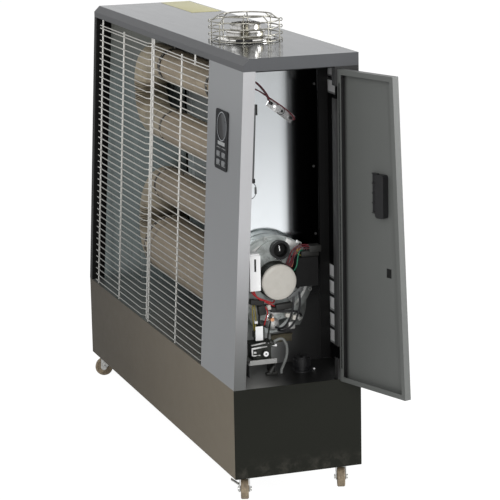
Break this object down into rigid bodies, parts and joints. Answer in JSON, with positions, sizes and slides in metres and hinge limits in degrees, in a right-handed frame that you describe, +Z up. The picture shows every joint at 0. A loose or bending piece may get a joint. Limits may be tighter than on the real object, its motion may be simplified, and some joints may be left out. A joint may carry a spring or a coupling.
{
  "type": "infrared diesel heater",
  "caption": "Long free-standing infrared oil heater on casters: serpentine emitter tubes behind a wire guard, caged flue collar, open burner bay with hinged side door.",
  "frame": {"origin": "on the floor under the centre of the cabinet's footprint, where the heater stands", "axes": "+X to the right seen from the front, towards the burner bay; the emitter guard faces -Y; +Z up"},
  "size_m": [1.5638, 0.3654, 1.1517],
  "materials": {
    "charcoal_paint": "satin powder coat",
    "grey_paint": "satin powder coat",
    "polished_steel": "bright rolled sheet",
    "heat_paint": "matt heat-resistant coat",
    "galvanised": "zinc plated",
    "guard_wire": "pale coated wire",
    "cast_alloy": "as cast",
    "black_plastic": "fine grain",
    "white_plastic": "smooth",
    "dark_grey_plastic": "fine grain",
    "hose_rubber": "smooth",
    "wheel_tread": "dusty hard tread"
  },
  "bodies": {
    "cabinet": {"base_skirt": "charcoal_paint", "base_pan": "charcoal_paint", "deck_plate": "charcoal_paint", "fuel_tank": "charcoal_paint", "filler_neck": "black_plastic", "left_end_panel": "charcoal_paint", "rear_panel": "charcoal_paint", "front_panel": "grey_paint", "hinge_post": "charcoal_paint", "top_cover": "grey_paint", "ceiling_plate": "charcoal_paint", "bay_partition": "charcoal_paint", "heat_shield": "polished_steel", "reflectors": "polished_steel", "combustion_chamber": "heat_paint", "emitter_tubes": "heat_paint", "emitter_bends": "heat_paint", "flue_elbow": "heat_paint", "tube_hangers": "galvanised", "flue_spigot": "galvanised", "flue_guard": "guard_wire", "guard_left": "guard_wire", "guard_right": "guard_wire", "burner_head": "cast_alloy", "blower_scroll": "cast_alloy", "fan_motor": "black_plastic", "motor_cap": "white_plastic", "air_intake": "black_plastic", "fuel_pump": "cast_alloy", "solenoid_coil": "cast_alloy", "pump_bracket": "galvanised", "fuel_hose": "hose_rubber", "ignition_transformer": "black_plastic", "flame_control_box": "white_plastic", "overheat_switch": "galvanised", "wiring": "hose_rubber", "cable_gland": "black_plastic", "control_bezel": "dark_grey_plastic", "display_window": "black_plastic", "room_sensor": "white_plastic", "caster_plates": "galvanised"},
    "blower_rotor": {"blower_wheel": "cast_alloy"},
    "filler_cap": {"fuel_cap": "black_plastic"},
    "side_door": {"door_pan": "grey_paint", "hinge_leaves": "galvanised", "door_grip": "black_plastic"},
    "key_1_cap": {"key_1": "dark_grey_plastic"},
    "key_2_cap": {"key_2": "dark_grey_plastic"},
    "key_3_cap": {"key_3": "dark_grey_plastic"},
    "key_4_cap": {"key_4": "dark_grey_plastic"},
    "caster_front_left": {"fork_front_left": "galvanised"},
    "roller_front_left": {"wheel_front_left": "wheel_tread"},
    "pedal_left": {"brake_pedal_left": "galvanised"},
    "caster_front_right": {"fork_front_right": "galvanised"},
    "roller_front_right": {"wheel_front_right": "wheel_tread"},
    "pedal_right": {"brake_pedal_right": "galvanised"},
    "caster_rear_left": {"fork_rear_left": "galvanised"},
    "roller_rear_left": {"wheel_rear_left": "wheel_tread"},
    "caster_rear_right": {"fork_rear_right": "galvanised"},
    "roller_rear_right": {"wheel_rear_right": "wheel_tread"}
  },
  "joints": [
    {"name": "door_hinge", "type": "hinge", "parent": "cabinet", "child": "side_door", "pos_m": [0.662, 0.116, 0.286], "axis": [0, 0, 1], "range_deg": [-109, 61]},
    {"name": "blower_spin", "type": "hinge", "parent": "cabinet", "child": "blower_rotor", "pos_m": [0.49, -0.007, 0.518], "axis": [1, 0, 0], "continuous": true},
    {"name": "cap_turn", "type": "hinge", "parent": "cabinet", "child": "filler_cap", "pos_m": [0.545, 0.053, 0.298], "axis": [0, 0, 1], "range_deg": [0, 120]},
    {"name": "key_1_press", "type": "slide", "parent": "cabinet", "child": "key_1_cap", "axis": [0, 0.9986, -0.0519], "range_m": [0, 0.001], "stiffness_N_per_m": 600, "springref_m": -0.0005},
    {"name": "key_2_press", "type": "slide", "parent": "cabinet", "child": "key_2_cap", "axis": [0, 0.9986, -0.0519], "range_m": [0, 0.001], "stiffness_N_per_m": 600, "springref_m": -0.0005},
    {"name": "key_3_press", "type": "slide", "parent": "cabinet", "child": "key_3_cap", "axis": [0, 0.9986, -0.0519], "range_m": [0, 0.001], "stiffness_N_per_m": 600, "springref_m": -0.0005},
    {"name": "key_4_press", "type": "slide", "parent": "cabinet", "child": "key_4_cap", "axis": [0, 0.9986, -0.0519], "range_m": [0, 0.001], "stiffness_N_per_m": 600, "springref_m": -0.0005},
    {"name": "swivel_front_left", "type": "hinge", "parent": "cabinet", "child": "caster_front_left", "pos_m": [-0.604, -0.123, 0.055], "axis": [0, 0, 1], "continuous": true},
    {"name": "roll_front_left", "type": "hinge", "parent": "caster_front_left", "child": "roller_front_left", "pos_m": [-0.61116, -0.1438, 0.0255], "axis": [0.9455, -0.3256, 0], "continuous": true},
    {"name": "brake_left", "type": "hinge", "parent": "caster_front_left", "child": "pedal_left", "pos_m": [-0.61116, -0.1438, 0.0255], "axis": [0.9455, -0.3256, 0], "range_deg": [0, 16]},
    {"name": "swivel_front_right", "type": "hinge", "parent": "cabinet", "child": "caster_front_right", "pos_m": [0.604, -0.123, 0.055], "axis": [0, 0, 1], "continuous": true},
    {"name": "roll_front_right", "type": "hinge", "parent": "caster_front_right", "child": "roller_front_right", "pos_m": [0.6248, -0.13016, 0.0255], "axis": [0.3256, 0.9455, 0], "continuous": true},
    {"name": "brake_right", "type": "hinge", "parent": "caster_front_right", "child": "pedal_right", "pos_m": [0.6248, -0.13016, 0.0255], "axis": [0.3256, 0.9455, 0], "range_deg": [0, 16]},
    {"name": "swivel_rear_left", "type": "hinge", "parent": "cabinet", "child": "caster_rear_left", "pos_m": [-0.604, 0.13, 0.055], "axis": [0, 0, 1], "continuous": true},
    {"name": "roll_rear_left", "type": "hinge", "parent": "caster_rear_left", "child": "roller_rear_left", "pos_m": [-0.62202, 0.11738, 0.0255], "axis": [0.5736, -0.8192, 0], "continuous": true},
    {"name": "swivel_rear_right", "type": "hinge", "parent": "cabinet", "child": "caster_rear_right", "pos_m": [0.604, 0.13, 0.055], "axis": [0, 0, 1], "continuous": true},
    {"name": "roll_rear_right", "type": "hinge", "parent": "caster_rear_right", "child": "roller_rear_right", "pos_m": [0.6248, 0.12284, 0.0255], "axis": [0.3256, 0.9455, 0], "continuous": true}
  ]
}
